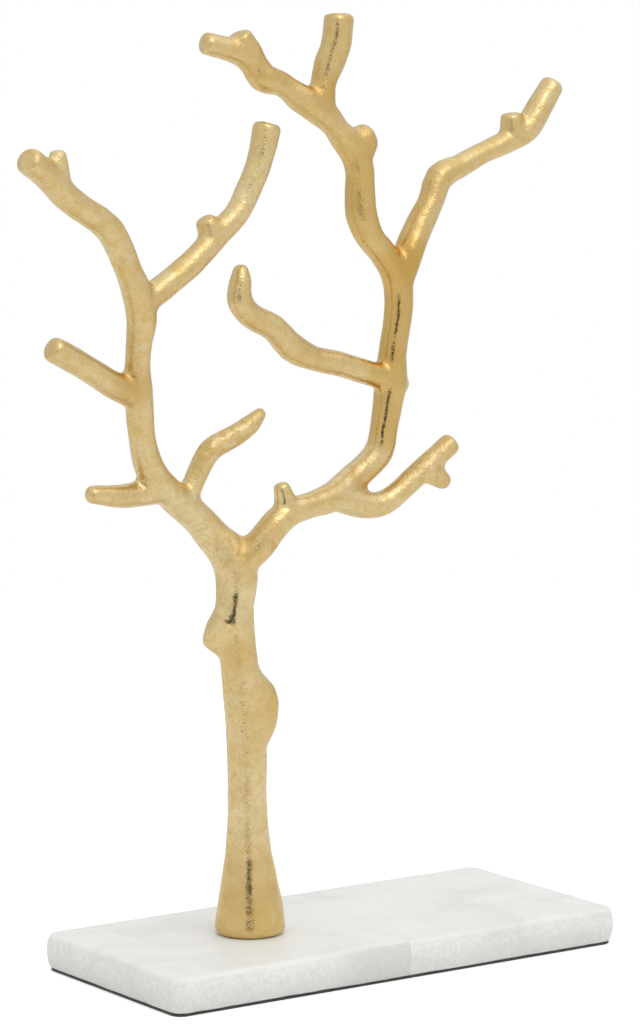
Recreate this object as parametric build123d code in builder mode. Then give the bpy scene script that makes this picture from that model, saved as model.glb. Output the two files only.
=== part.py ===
from build123d import *
import os
from dataclasses import dataclass

# Jewelry stand: a cast metal tree bolted to a marble slab. Millimetres, +Z up, +X along the slab, with
# the origin in the middle of the underside.
# Every casting is lofted through circles along its centre line. Its path is a list of offsets from its
# root, (along X, along Y, up), as shares of its reach, and its thickness is a list of shares of its
# girth, which is its usual diameter. A stump with a broad root has ellipses instead of circles, and its
# rise shares say how much taller than wide they are. A branch springs from a place on its parent's path,
# given as a station number and the share of the way on to the next station.

# Marble slab, whose ground sides bulge: each pair is a height as a share of the thickness, and how far the
# side lies back there as a share of the bulge
SLAB_LENGTH = 234.0
SLAB_WIDTH = 107.0
SLAB_THICKNESS = 15.5
SLAB_CORNER_RADIUS = 7.0
SLAB_BULGE = 1.5
SLAB_SIDE_SHARES = [(0.0, 1.0), (0.25, 0.25), (0.5, 0.0), (0.75, 0.25), (1.0, 1.0)]
SLAB_TOP_ROUND = 1.8
SLAB_BOTTOM_ROUND = 0.8

# Pad under the slab
PAD_THICKNESS = 1.0
PAD_INSET = 1.9

# Bolt and washers that hold the tree
TREE_OFFSET = -44.0
BOLT_DIAMETER = 6.0
BOLT_HEAD_FLATS = 10.0
BOLT_HEAD_HEIGHT = 4.0
BOLT_ENGAGEMENT = 16.0
BOLT_TIP_CHAMFER = 0.8
BOLT_HOLE_CLEARANCE = 0.4
TAPPED_BORE_CLEARANCE = 0.1
TAPPED_BORE_SPARE_DEPTH = 3.0
FLAT_WASHER_DIAMETER = 18.0
FLAT_WASHER_THICKNESS = 1.6
LOCK_WASHER_DIAMETER = 11.8
LOCK_WASHER_THICKNESS = 1.6
LOCK_WASHER_GAP = 1.2
WASHER_BORE_CLEARANCE = 0.25
COUNTERBORE_CLEARANCE = 2.0
HEAD_TO_PAD_GAP = 0.8

# Joints between castings: a round spigot on the outer casting fits a socket in the inner one
SPIGOT_GIRTH_SHARE = 0.5
SPIGOT_LENGTH_SHARE = 0.6
SPIGOT_CLEARANCE = 0.1
SOCKET_END_GAP = 0.4

# Circles that each run between two stations is lofted through
STEPS_PER_RUN = 3

# Rounding of the ends, as a share of the end's diameter
CUT_END_SHARE = 0.14
BLUNT_END_SHARE = 0.36

# Trunk
TRUNK_HEIGHT = 173.0
TRUNK_GIRTH = 17.2
FOOT_GIRTH = 30.8
FOOT_ROUND = 2.5
TRUNK_PATH_SHARES = [
    (0.0, 0.0, 0.0),
    (0.0, 0.0, 0.07),
    (-0.002, 0.0, 0.135),
    (-0.004, 0.0, 0.2),
    (-0.006, 0.0, 0.275),
    (-0.008, 0.0, 0.36),
    (-0.008, 0.0, 0.45),
    (-0.014, 0.0, 0.55),
    (-0.025, 0.0, 0.64),
    (-0.037, 0.0, 0.73),
    (-0.044, 0.0, 0.815),
    (-0.037, 0.0, 0.89),
    (-0.046, 0.009, 0.945),
    (-0.087, 0.023, 0.996),
]
TRUNK_GIRTH_SHARES = [1.0, 1.0, 1.0, 1.0, 0.98, 0.95, 0.98, 0.98, 0.95, 0.94, 0.96, 1.03, 1.07, 0.84]
FOOT_FLARE_SHARES = [1.0, 0.8, 0.49, 0.2, 0.03]
TRUNK_LEFT_NUB_PLACE_SHARES = (9, 0.6)
TRUNK_LEFT_NUB_REACH = 15.6
TRUNK_LEFT_NUB_GIRTH = 13.0
TRUNK_LEFT_NUB_PATH_SHARES = [(0.0, 0.0, 0.0), (-0.318, 0.26, -0.373), (-0.579, 0.416, -0.709)]
TRUNK_LEFT_NUB_GIRTH_SHARES = [1.2, 1.05, 0.62]
TRUNK_LEFT_NUB_RISE_SHARES = [1.6, 1.3, 1.1]
TRUNK_RIGHT_NUB_PLACE_SHARES = (7, 0.42)
TRUNK_RIGHT_NUB_REACH = 17.0
TRUNK_RIGHT_NUB_GIRTH = 13.2
TRUNK_RIGHT_NUB_PATH_SHARES = [(0.0, 0.0, 0.0), (0.436, -0.178, 0.03), (0.769, -0.33, 0.135)]
TRUNK_RIGHT_NUB_GIRTH_SHARES = [1.24, 1.04, 0.62]
TRUNK_RIGHT_NUB_RISE_SHARES = [4.2, 2.85, 0.95]

# Left limb, which carries on from the trunk
LEFT_LIMB_REACH = 123.0
LEFT_LIMB_GIRTH = 11.6
LEFT_LIMB_PATH_SHARES = [
    (0.0, 0.0, 0.0),
    (-0.06, 0.007, 0.066),
    (-0.135, 0.007, 0.129),
    (-0.21, -0.003, 0.191),
    (-0.278, -0.02, 0.268),
    (-0.313, -0.033, 0.361),
    (-0.329, -0.045, 0.447),
    (-0.341, -0.055, 0.536),
    (-0.353, -0.069, 0.631),
    (-0.352, -0.081, 0.715),
    (-0.352, -0.094, 0.796),
    (-0.382, -0.107, 0.88),
    (-0.419, -0.112, 0.959),
]
LEFT_LIMB_GIRTH_SHARES = [1.24, 1.16, 1.12, 1.08, 1.04, 0.97, 0.97, 1.0, 0.9, 0.95, 1.1, 1.05, 0.95]

# Left crook, which carries on from the left limb
LEFT_CROOK_REACH = 69.0
LEFT_CROOK_GIRTH = 10.9
LEFT_CROOK_PATH_SHARES = [
    (0.0, 0.0, 0.0),
    (-0.06, 0.0, 0.125),
    (-0.14, -0.01, 0.24),
    (-0.32, -0.03, 0.355),
    (-0.465, -0.045, 0.45),
    (-0.6, -0.07, 0.572),
    (-0.767, -0.12, 0.67),
]
LEFT_CROOK_GIRTH_SHARES = [1.0, 1.05, 1.07, 1.0, 1.05, 1.04, 1.02]
LEFT_CROOK_NUB_PLACE_SHARES = (4, 0.3)
LEFT_CROOK_NUB_REACH = 15.8
LEFT_CROOK_NUB_GIRTH = 7.4
LEFT_CROOK_NUB_PATH_SHARES = [(0.0, 0.0, 0.0), (0.0, 0.0, 0.64), (-0.03, 0.0, 0.98)]
LEFT_CROOK_NUB_GIRTH_SHARES = [1.4, 1.04, 0.9]

# Left prong
LEFT_PRONG_PLACE_SHARES = (10, 0.4)
LEFT_PRONG_REACH = 96.5
LEFT_PRONG_GIRTH = 10.3
LEFT_PRONG_PATH_SHARES = [
    (0.0, 0.0, 0.0),
    (0.16, 0.0, 0.095),
    (0.3, 0.01, 0.19),
    (0.412, 0.02, 0.283),
    (0.507, 0.02, 0.366),
    (0.581, 0.02, 0.477),
    (0.634, 0.02, 0.605),
    (0.675, 0.02, 0.752),
]
LEFT_PRONG_GIRTH_SHARES = [1.1, 1.04, 1.02, 1.02, 0.98, 1.03, 1.1, 1.14]
LEFT_PRONG_NUB_PLACE_SHARES = (2, 0.85)
LEFT_PRONG_NUB_REACH = 9.6
LEFT_PRONG_NUB_GIRTH = 9.0
LEFT_PRONG_NUB_PATH_SHARES = [(0.0, 0.0, 0.0), (-0.55, 0.0, 0.85)]
LEFT_PRONG_NUB_GIRTH_SHARES = [1.3, 0.9]

# Left side twig
LEFT_SIDE_TWIG_PLACE_SHARES = (6, 0.7)
LEFT_SIDE_TWIG_REACH = 50.5
LEFT_SIDE_TWIG_GIRTH = 10.8
LEFT_SIDE_TWIG_PATH_SHARES = [
    (0.0, 0.0, 0.0),
    (-0.24, -0.02, 0.115),
    (-0.56, -0.04, 0.3),
    (-0.88, -0.05, 0.467),
]
LEFT_SIDE_TWIG_GIRTH_SHARES = [1.08, 1.03, 0.99, 0.97]

# Left low twig
LEFT_LOW_TWIG_PLACE_SHARES = (2, 0.9)
LEFT_LOW_TWIG_REACH = 40.0
LEFT_LOW_TWIG_GIRTH = 9.6
LEFT_LOW_TWIG_PATH_SHARES = [
    (0.0, 0.0, 0.0),
    (-0.38, 0.0, -0.03),
    (-0.66, -0.05, -0.02),
    (-1.0, -0.07, 0.03),
]
LEFT_LOW_TWIG_GIRTH_SHARES = [1.2, 1.05, 0.96, 0.74]

# Left inner twig
LEFT_INNER_TWIG_PLACE_SHARES = (1, 0.8)
LEFT_INNER_TWIG_REACH = 54.5
LEFT_INNER_TWIG_GIRTH = 8.8
LEFT_INNER_TWIG_PATH_SHARES = [
    (0.0, 0.0, 0.0),
    (0.124, 0.0, 0.242),
    (0.23, -0.02, 0.424),
    (0.428, -0.035, 0.514),
    (0.583, -0.055, 0.607),
    (0.706, -0.055, 0.708),
]
LEFT_INNER_TWIG_GIRTH_SHARES = [1.1, 0.99, 1.08, 1.02, 0.96, 0.5]

# Right limb
RIGHT_LIMB_PLACE_SHARES = (11, 0.6)
RIGHT_LIMB_REACH = 69.5
RIGHT_LIMB_GIRTH = 12.4
RIGHT_LIMB_PATH_SHARES = [
    (0.0, 0.0, 0.0),
    (0.125, -0.076, 0.125),
    (0.218, -0.105, 0.242),
    (0.341, -0.105, 0.32),
    (0.517, -0.088, 0.35),
    (0.7, -0.053, 0.385),
    (0.873, 0.001, 0.465),
]
RIGHT_LIMB_GIRTH_SHARES = [1.12, 1.06, 1.0, 0.93, 0.88, 1.04, 0.97]
RIGHT_LIMB_NUB_PLACE_SHARES = (2, 0.9)
RIGHT_LIMB_NUB_REACH = 13.4
RIGHT_LIMB_NUB_GIRTH = 7.4
RIGHT_LIMB_NUB_PATH_SHARES = [(0.0, 0.0, 0.0), (-0.32, 0.0, 0.97)]
RIGHT_LIMB_NUB_GIRTH_SHARES = [1.5, 0.85]

# Right low branch
RIGHT_LOW_BRANCH_PLACE_SHARES = (4, 0.95)
RIGHT_LOW_BRANCH_REACH = 64.0
RIGHT_LOW_BRANCH_GIRTH = 10.3
RIGHT_LOW_BRANCH_PATH_SHARES = [
    (0.0, 0.0, 0.0),
    (0.245, -0.015, -0.075),
    (0.4, -0.03, -0.072),
    (0.556, -0.05, 0.027),
    (0.745, -0.065, 0.172),
    (0.945, -0.08, 0.317),
]
RIGHT_LOW_BRANCH_GIRTH_SHARES = [1.12, 1.08, 1.05, 0.95, 0.95, 0.88]
RIGHT_LOW_NUB_PLACE_SHARES = (3, 0.85)
RIGHT_LOW_NUB_REACH = 14.6
RIGHT_LOW_NUB_GIRTH = 8.2
RIGHT_LOW_NUB_PATH_SHARES = [(0.0, 0.0, 0.0), (0.87, 0.0, -0.56)]
RIGHT_LOW_NUB_GIRTH_SHARES = [1.5, 0.78]

# Right riser, which carries on from the right limb
RIGHT_RISER_REACH = 99.0
RIGHT_RISER_GIRTH = 12.1
RIGHT_RISER_PATH_SHARES = [
    (0.0, 0.0, 0.0),
    (0.084, 0.0, 0.058),
    (0.146, -0.005, 0.12),
    (0.166, -0.01, 0.22),
    (0.186, -0.01, 0.314),
    (0.204, -0.01, 0.42),
    (0.213, -0.01, 0.537),
    (0.233, -0.01, 0.654),
    (0.25, -0.01, 0.777),
    (0.23, -0.01, 0.892),
    (0.163, -0.01, 0.985),
]
RIGHT_RISER_GIRTH_SHARES = [1.0, 1.0, 1.04, 0.97, 1.03, 1.17, 1.0, 0.98, 1.02, 1.04, 0.96]
RIGHT_RISER_KNOB_PLACE_SHARES = (4, 0.9)
RIGHT_RISER_KNOB_REACH = 8.4
RIGHT_RISER_KNOB_GIRTH = 9.0
RIGHT_RISER_KNOB_PATH_SHARES = [(0.0, 0.0, 0.0), (1.0, 0.0, 0.0)]
RIGHT_RISER_KNOB_GIRTH_SHARES = [1.25, 0.75]

# Right inner branch
RIGHT_INNER_BRANCH_PLACE_SHARES = (5, 0.1)
RIGHT_INNER_BRANCH_REACH = 95.5
RIGHT_INNER_BRANCH_GIRTH = 10.2
RIGHT_INNER_BRANCH_PATH_SHARES = [
    (0.0, 0.0, 0.0),
    (-0.137, -0.01, 0.037),
    (-0.3, -0.02, 0.088),
    (-0.44, -0.02, 0.122),
    (-0.558, -0.02, 0.175),
    (-0.66, -0.02, 0.27),
    (-0.787, -0.02, 0.335),
    (-0.838, -0.02, 0.403),
    (-0.833, -0.02, 0.49),
    (-0.833, -0.02, 0.557),
]
RIGHT_INNER_BRANCH_GIRTH_SHARES = [1.1, 1.03, 1.04, 1.04, 1.22, 1.08, 1.03, 1.06, 0.88, 0.48]

# Right high branch
RIGHT_HIGH_BRANCH_PLACE_SHARES = (8, 0.5)
RIGHT_HIGH_BRANCH_REACH = 122.0
RIGHT_HIGH_BRANCH_GIRTH = 10.4
RIGHT_HIGH_BRANCH_PATH_SHARES = [
    (0.0, 0.0, 0.0),
    (0.0435, 0.0, 0.117),
    (0.0985, 0.01, 0.211),
    (0.154, 0.015, 0.297),
    (0.193, 0.02, 0.377),
    (0.283, 0.025, 0.413),
    (0.386, 0.025, 0.457),
    (0.489, 0.025, 0.493),
    (0.584, 0.025, 0.537),
    (0.643, 0.025, 0.614),
    (0.711, 0.025, 0.703),
]
RIGHT_HIGH_BRANCH_GIRTH_SHARES = [1.1, 1.23, 1.16, 1.06, 1.15, 0.98, 0.88, 0.92, 1.1, 1.1, 0.96]
RIGHT_HIGH_NUB_PLACE_SHARES = (7, 0.35)
RIGHT_HIGH_NUB_REACH = 10.5
RIGHT_HIGH_NUB_GIRTH = 9.2
RIGHT_HIGH_NUB_PATH_SHARES = [(0.0, 0.0, 0.0), (-0.1, 0.0, 1.06)]
RIGHT_HIGH_NUB_GIRTH_SHARES = [1.2, 0.98]

# Crown limb, which carries on from the right riser
CROWN_LIMB_REACH = 81.0
CROWN_LIMB_GIRTH = 11.7
CROWN_LIMB_PATH_SHARES = [
    (0.0, 0.0, 0.0),
    (-0.091, 0.0, 0.089),
    (-0.141, 0.0, 0.198),
    (-0.151, 0.0, 0.325),
    (-0.162, 0.0, 0.457),
    (-0.213, 0.0, 0.572),
    (-0.309, 0.0, 0.665),
    (-0.412, 0.0, 0.76),
    (-0.542, 0.0, 0.841),
]
CROWN_LIMB_GIRTH_SHARES = [0.96, 1.02, 1.12, 1.04, 1.04, 1.0, 0.93, 1.05, 1.0]
CROWN_LIMB_KNOB_PLACE_SHARES = (4, 0.7)
CROWN_LIMB_KNOB_REACH = 11.8
CROWN_LIMB_KNOB_GIRTH = 10.4
CROWN_LIMB_KNOB_PATH_SHARES = [(0.0, 0.0, 0.0), (0.77, 0.0, 0.64)]
CROWN_LIMB_KNOB_GIRTH_SHARES = [1.15, 0.9]
CROWN_LIMB_KNOB_RISE_SHARES = [1.55, 1.2]

# Crown branch, which carries on from the crown limb
CROWN_BRANCH_REACH = 52.0
CROWN_BRANCH_GIRTH = 10.6
CROWN_BRANCH_PATH_SHARES = [
    (0.0, 0.0, 0.0),
    (-0.178, 0.02, 0.1),
    (-0.334, 0.04, 0.171),
    (-0.446, 0.055, 0.303),
    (-0.647, 0.06, 0.393),
    (-0.885, 0.075, 0.45),
]
CROWN_BRANCH_GIRTH_SHARES = [1.1, 1.03, 1.14, 1.03, 0.92, 0.88]
CROWN_BRANCH_NUB_PLACE_SHARES = (3, 0.05)
CROWN_BRANCH_NUB_REACH = 11.2
CROWN_BRANCH_NUB_GIRTH = 10.0
CROWN_BRANCH_NUB_PATH_SHARES = [(0.0, 0.0, 0.0), (-0.46, 0.0, 0.97)]
CROWN_BRANCH_NUB_GIRTH_SHARES = [1.25, 1.06]

# Crown prong
CROWN_PRONG_PLACE_SHARES = (7, 0.0)
CROWN_PRONG_REACH = 42.0
CROWN_PRONG_GIRTH = 12.0
CROWN_PRONG_PATH_SHARES = [
    (0.0, 0.0, 0.0),
    (0.03, 0.0, 0.26),
    (0.105, 0.0, 0.46),
    (0.182, -0.02, 0.7),
    (0.213, -0.02, 0.972),
]
CROWN_PRONG_GIRTH_SHARES = [1.0, 0.96, 1.02, 1.05, 1.08]

# Heights and depths worked out from the values above
PAD_TOP = PAD_THICKNESS
SLAB_TOP = PAD_TOP + SLAB_THICKNESS
COUNTERBORE_DEPTH = HEAD_TO_PAD_GAP + BOLT_HEAD_HEIGHT + LOCK_WASHER_THICKNESS + FLAT_WASHER_THICKNESS
COUNTERBORE_TOP = PAD_TOP + COUNTERBORE_DEPTH
FLAT_WASHER_BOTTOM = COUNTERBORE_TOP - FLAT_WASHER_THICKNESS
LOCK_WASHER_BOTTOM = FLAT_WASHER_BOTTOM - LOCK_WASHER_THICKNESS
BOLT_HEAD_BOTTOM = LOCK_WASHER_BOTTOM - BOLT_HEAD_HEIGHT
BOLT_TOP = SLAB_TOP + BOLT_ENGAGEMENT
WASHER_BORE_DIAMETER = BOLT_DIAMETER + 2 * WASHER_BORE_CLEARANCE


@dataclass
class Bough:
    """The centre line and thickness of one branch or stump."""

    root: Vector
    reach: float
    girth: float
    path_shares: list
    girth_shares: list
    before: "Bough" = None
    rise_shares: list = None

    @property
    def last(self):
        """The number of the last station."""
        return len(self.path_shares) - 1

    def point(self, station):
        """The place of one station of the path."""
        return self.root + Vector(*self.path_shares[station]) * self.reach

    def diameter(self, station):
        """The thickness at one station. The first is shared with the bough that it carries on from."""
        if self.before and station == 0:
            return self.before.diameter(self.before.last)
        return self.girth * self.girth_shares[station]

    def height(self, station):
        """The thickness at one station square to Y, which a broad stump has more of."""
        rise_share = self.rise_shares[station] if self.rise_shares else 1
        return self.diameter(station) * rise_share

    def heading(self, station):
        """The direction of the path at one station, halfway between the runs that meet there."""
        if self.before and station == 0:
            return self.before.heading(self.before.last)
        runs = Vector(0, 0, 0)
        if station > 0:
            runs += (self.point(station) - self.point(station - 1)).normalized()
        if station < self.last:
            runs += (self.point(station + 1) - self.point(station)).normalized()
        return runs.normalized()

    def along(self, station, share=0):
        """The place part of the way to the next station, on a cubic curve, and the direction there."""
        if share == 0:
            return self.point(station), self.heading(station)
        start = self.point(station)
        span = self.point(station + 1) - start
        leave = self.heading(station) * span.length
        arrive = self.heading(station + 1) * span.length
        bend = leave + arrive - span * 2
        lean = span * 3 - leave * 2 - arrive
        place = start + leave * share + lean * share**2 + bend * share**3
        slope = leave + lean * (2 * share) + bend * (3 * share**2)
        return place, slope.normalized()

    def spring(self, place_shares):
        """The root of a branch that springs from this path."""
        station, share = place_shares
        return self.along(station, share)[0]

    def section(self, station, share=0):
        """The round across the path, on a plane whose X axis keeps near +Y."""
        place, heading = self.along(station, share)
        side = Vector(0, 1, 0) - heading * heading.Y
        width = self.diameter(station)
        height = self.height(station)
        if share > 0:
            width += (self.diameter(station + 1) - width) * share
            height += (self.height(station + 1) - height) * share
        with BuildSketch(Plane(place, x_dir=side.normalized(), z_dir=heading)) as outline:
            if self.rise_shares:
                Ellipse(width / 2, height / 2)
            else:
                Circle(width / 2)
        return outline.sketch

    def plane(self, station):
        """The plane square to the path at one station."""
        return Plane(self.point(station), z_dir=self.heading(station))


class TrunkLine(Bough):
    """The trunk's centre line, which stands upright on a flared foot."""

    def diameter(self, station):
        """The thickness at one station, with the flare of the foot."""
        plain = self.girth * self.girth_shares[station]
        if station < len(FOOT_FLARE_SHARES):
            return plain + (FOOT_GIRTH - TRUNK_GIRTH) * FOOT_FLARE_SHARES[station]
        return plain

    def heading(self, station):
        """The direction of the path, straight up at the foot."""
        return Vector(0, 0, 1) if station == 0 else super().heading(station)


def loft_between(line, first, last):
    """The solid of a bough between two of its stations, through sections that follow its curve."""
    sections = []
    for station in range(first, last):
        for step in range(STEPS_PER_RUN):
            sections.append(line.section(station, step / STEPS_PER_RUN))
    sections.append(line.section(last))
    with BuildPart() as stretch:
        loft(sections, ruled=True)
    return stretch.part


def stub(line):
    """The root of a branch, up to the flat face that the branch's own casting sits on."""
    return loft_between(line, 0, 1)


def bough(line, first, end_share):
    """The solid of a bough from one of its stations to its outer end, whose rim is rounded."""
    with BuildPart() as whole:
        add(loft_between(line, first, line.last))
        end = whole.faces().filter_by(GeomType.PLANE).sort_by_distance(line.point(line.last))[0]
        fillet(end.edges(), radius=line.diameter(line.last) * end_share)
    return whole.part


def stump(line, end_share):
    """The solid of a short cut-off branch."""
    return bough(line, 0, end_share)


def add_spigot(line, station):
    """Add the spigot on the inner end of a casting."""
    with BuildSketch(line.plane(station)) as section:
        Circle(line.diameter(station) * SPIGOT_GIRTH_SHARE / 2)
    extrude(section.sketch, amount=-line.diameter(station) * SPIGOT_LENGTH_SHARE)


def cut_socket(line, station):
    """Cut the socket for the spigot of the next casting out."""
    with BuildSketch(line.plane(station)) as section:
        Circle(line.diameter(station) * SPIGOT_GIRTH_SHARE / 2 + SPIGOT_CLEARANCE)
    depth = line.diameter(station) * SPIGOT_LENGTH_SHARE + SOCKET_END_GAP
    extrude(section.sketch, amount=-depth, mode=Mode.SUBTRACT)


# Centre lines, from the trunk outwards
tree_foot = Vector(TREE_OFFSET, 0, SLAB_TOP)
trunk_line = TrunkLine(tree_foot, TRUNK_HEIGHT, TRUNK_GIRTH, TRUNK_PATH_SHARES, TRUNK_GIRTH_SHARES)
trunk_left_nub = Bough(
    trunk_line.spring(TRUNK_LEFT_NUB_PLACE_SHARES),
    TRUNK_LEFT_NUB_REACH,
    TRUNK_LEFT_NUB_GIRTH,
    TRUNK_LEFT_NUB_PATH_SHARES,
    TRUNK_LEFT_NUB_GIRTH_SHARES,
    rise_shares=TRUNK_LEFT_NUB_RISE_SHARES,
)
trunk_right_nub = Bough(
    trunk_line.spring(TRUNK_RIGHT_NUB_PLACE_SHARES),
    TRUNK_RIGHT_NUB_REACH,
    TRUNK_RIGHT_NUB_GIRTH,
    TRUNK_RIGHT_NUB_PATH_SHARES,
    TRUNK_RIGHT_NUB_GIRTH_SHARES,
    rise_shares=TRUNK_RIGHT_NUB_RISE_SHARES,
)
left_limb_line = Bough(
    trunk_line.point(trunk_line.last),
    LEFT_LIMB_REACH,
    LEFT_LIMB_GIRTH,
    LEFT_LIMB_PATH_SHARES,
    LEFT_LIMB_GIRTH_SHARES,
    before=trunk_line,
)
left_crook_line = Bough(
    left_limb_line.point(left_limb_line.last),
    LEFT_CROOK_REACH,
    LEFT_CROOK_GIRTH,
    LEFT_CROOK_PATH_SHARES,
    LEFT_CROOK_GIRTH_SHARES,
    before=left_limb_line,
)
left_crook_nub = Bough(
    left_crook_line.spring(LEFT_CROOK_NUB_PLACE_SHARES),
    LEFT_CROOK_NUB_REACH,
    LEFT_CROOK_NUB_GIRTH,
    LEFT_CROOK_NUB_PATH_SHARES,
    LEFT_CROOK_NUB_GIRTH_SHARES,
)
left_prong_line = Bough(
    left_limb_line.spring(LEFT_PRONG_PLACE_SHARES),
    LEFT_PRONG_REACH,
    LEFT_PRONG_GIRTH,
    LEFT_PRONG_PATH_SHARES,
    LEFT_PRONG_GIRTH_SHARES,
)
left_prong_nub = Bough(
    left_prong_line.spring(LEFT_PRONG_NUB_PLACE_SHARES),
    LEFT_PRONG_NUB_REACH,
    LEFT_PRONG_NUB_GIRTH,
    LEFT_PRONG_NUB_PATH_SHARES,
    LEFT_PRONG_NUB_GIRTH_SHARES,
)
left_side_twig_line = Bough(
    left_limb_line.spring(LEFT_SIDE_TWIG_PLACE_SHARES),
    LEFT_SIDE_TWIG_REACH,
    LEFT_SIDE_TWIG_GIRTH,
    LEFT_SIDE_TWIG_PATH_SHARES,
    LEFT_SIDE_TWIG_GIRTH_SHARES,
)
left_low_twig_line = Bough(
    left_limb_line.spring(LEFT_LOW_TWIG_PLACE_SHARES),
    LEFT_LOW_TWIG_REACH,
    LEFT_LOW_TWIG_GIRTH,
    LEFT_LOW_TWIG_PATH_SHARES,
    LEFT_LOW_TWIG_GIRTH_SHARES,
)
left_inner_twig_line = Bough(
    left_limb_line.spring(LEFT_INNER_TWIG_PLACE_SHARES),
    LEFT_INNER_TWIG_REACH,
    LEFT_INNER_TWIG_GIRTH,
    LEFT_INNER_TWIG_PATH_SHARES,
    LEFT_INNER_TWIG_GIRTH_SHARES,
)
right_limb_line = Bough(
    trunk_line.spring(RIGHT_LIMB_PLACE_SHARES),
    RIGHT_LIMB_REACH,
    RIGHT_LIMB_GIRTH,
    RIGHT_LIMB_PATH_SHARES,
    RIGHT_LIMB_GIRTH_SHARES,
)
right_limb_nub = Bough(
    right_limb_line.spring(RIGHT_LIMB_NUB_PLACE_SHARES),
    RIGHT_LIMB_NUB_REACH,
    RIGHT_LIMB_NUB_GIRTH,
    RIGHT_LIMB_NUB_PATH_SHARES,
    RIGHT_LIMB_NUB_GIRTH_SHARES,
)
right_low_branch_line = Bough(
    right_limb_line.spring(RIGHT_LOW_BRANCH_PLACE_SHARES),
    RIGHT_LOW_BRANCH_REACH,
    RIGHT_LOW_BRANCH_GIRTH,
    RIGHT_LOW_BRANCH_PATH_SHARES,
    RIGHT_LOW_BRANCH_GIRTH_SHARES,
)
right_low_nub = Bough(
    right_low_branch_line.spring(RIGHT_LOW_NUB_PLACE_SHARES),
    RIGHT_LOW_NUB_REACH,
    RIGHT_LOW_NUB_GIRTH,
    RIGHT_LOW_NUB_PATH_SHARES,
    RIGHT_LOW_NUB_GIRTH_SHARES,
)
right_riser_line = Bough(
    right_limb_line.point(right_limb_line.last),
    RIGHT_RISER_REACH,
    RIGHT_RISER_GIRTH,
    RIGHT_RISER_PATH_SHARES,
    RIGHT_RISER_GIRTH_SHARES,
    before=right_limb_line,
)
right_riser_knob = Bough(
    right_riser_line.spring(RIGHT_RISER_KNOB_PLACE_SHARES),
    RIGHT_RISER_KNOB_REACH,
    RIGHT_RISER_KNOB_GIRTH,
    RIGHT_RISER_KNOB_PATH_SHARES,
    RIGHT_RISER_KNOB_GIRTH_SHARES,
)
right_inner_branch_line = Bough(
    right_riser_line.spring(RIGHT_INNER_BRANCH_PLACE_SHARES),
    RIGHT_INNER_BRANCH_REACH,
    RIGHT_INNER_BRANCH_GIRTH,
    RIGHT_INNER_BRANCH_PATH_SHARES,
    RIGHT_INNER_BRANCH_GIRTH_SHARES,
)
right_high_branch_line = Bough(
    right_riser_line.spring(RIGHT_HIGH_BRANCH_PLACE_SHARES),
    RIGHT_HIGH_BRANCH_REACH,
    RIGHT_HIGH_BRANCH_GIRTH,
    RIGHT_HIGH_BRANCH_PATH_SHARES,
    RIGHT_HIGH_BRANCH_GIRTH_SHARES,
)
right_high_nub = Bough(
    right_high_branch_line.spring(RIGHT_HIGH_NUB_PLACE_SHARES),
    RIGHT_HIGH_NUB_REACH,
    RIGHT_HIGH_NUB_GIRTH,
    RIGHT_HIGH_NUB_PATH_SHARES,
    RIGHT_HIGH_NUB_GIRTH_SHARES,
)
crown_limb_line = Bough(
    right_riser_line.point(right_riser_line.last),
    CROWN_LIMB_REACH,
    CROWN_LIMB_GIRTH,
    CROWN_LIMB_PATH_SHARES,
    CROWN_LIMB_GIRTH_SHARES,
    before=right_riser_line,
)
crown_limb_knob = Bough(
    crown_limb_line.spring(CROWN_LIMB_KNOB_PLACE_SHARES),
    CROWN_LIMB_KNOB_REACH,
    CROWN_LIMB_KNOB_GIRTH,
    CROWN_LIMB_KNOB_PATH_SHARES,
    CROWN_LIMB_KNOB_GIRTH_SHARES,
    rise_shares=CROWN_LIMB_KNOB_RISE_SHARES,
)
crown_branch_line = Bough(
    crown_limb_line.point(crown_limb_line.last),
    CROWN_BRANCH_REACH,
    CROWN_BRANCH_GIRTH,
    CROWN_BRANCH_PATH_SHARES,
    CROWN_BRANCH_GIRTH_SHARES,
    before=crown_limb_line,
)
crown_branch_nub = Bough(
    crown_branch_line.spring(CROWN_BRANCH_NUB_PLACE_SHARES),
    CROWN_BRANCH_NUB_REACH,
    CROWN_BRANCH_NUB_GIRTH,
    CROWN_BRANCH_NUB_PATH_SHARES,
    CROWN_BRANCH_NUB_GIRTH_SHARES,
)
crown_prong_line = Bough(
    crown_limb_line.spring(CROWN_PRONG_PLACE_SHARES),
    CROWN_PRONG_REACH,
    CROWN_PRONG_GIRTH,
    CROWN_PRONG_PATH_SHARES,
    CROWN_PRONG_GIRTH_SHARES,
)

# Trunk with its foot, its two stumps and the root of the right limb
with BuildPart() as trunk:
    add(loft_between(trunk_line, 0, trunk_line.last))
    fillet(trunk.edges().group_by(Axis.Z)[0], radius=FOOT_ROUND)
    add(stump(trunk_left_nub, BLUNT_END_SHARE))
    add(stump(trunk_right_nub, BLUNT_END_SHARE))
    add(stub(right_limb_line))
    cut_socket(left_limb_line, 0)
    cut_socket(right_limb_line, 1)
    with BuildSketch(Plane(tree_foot)):
        Circle(BOLT_DIAMETER / 2 + TAPPED_BORE_CLEARANCE)
    extrude(amount=BOLT_ENGAGEMENT + TAPPED_BORE_SPARE_DEPTH, mode=Mode.SUBTRACT)

# Left limb with the roots of its three twigs and of the left prong
with BuildPart() as left_limb:
    add(loft_between(left_limb_line, 0, left_limb_line.last))
    add_spigot(left_limb_line, 0)
    for branch in (left_low_twig_line, left_inner_twig_line, left_side_twig_line, left_prong_line):
        add(stub(branch))
        cut_socket(branch, 1)
    cut_socket(left_crook_line, 0)

with BuildPart() as left_crook:
    add(bough(left_crook_line, 0, CUT_END_SHARE))
    add(stump(left_crook_nub, CUT_END_SHARE))
    add_spigot(left_crook_line, 0)

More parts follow.
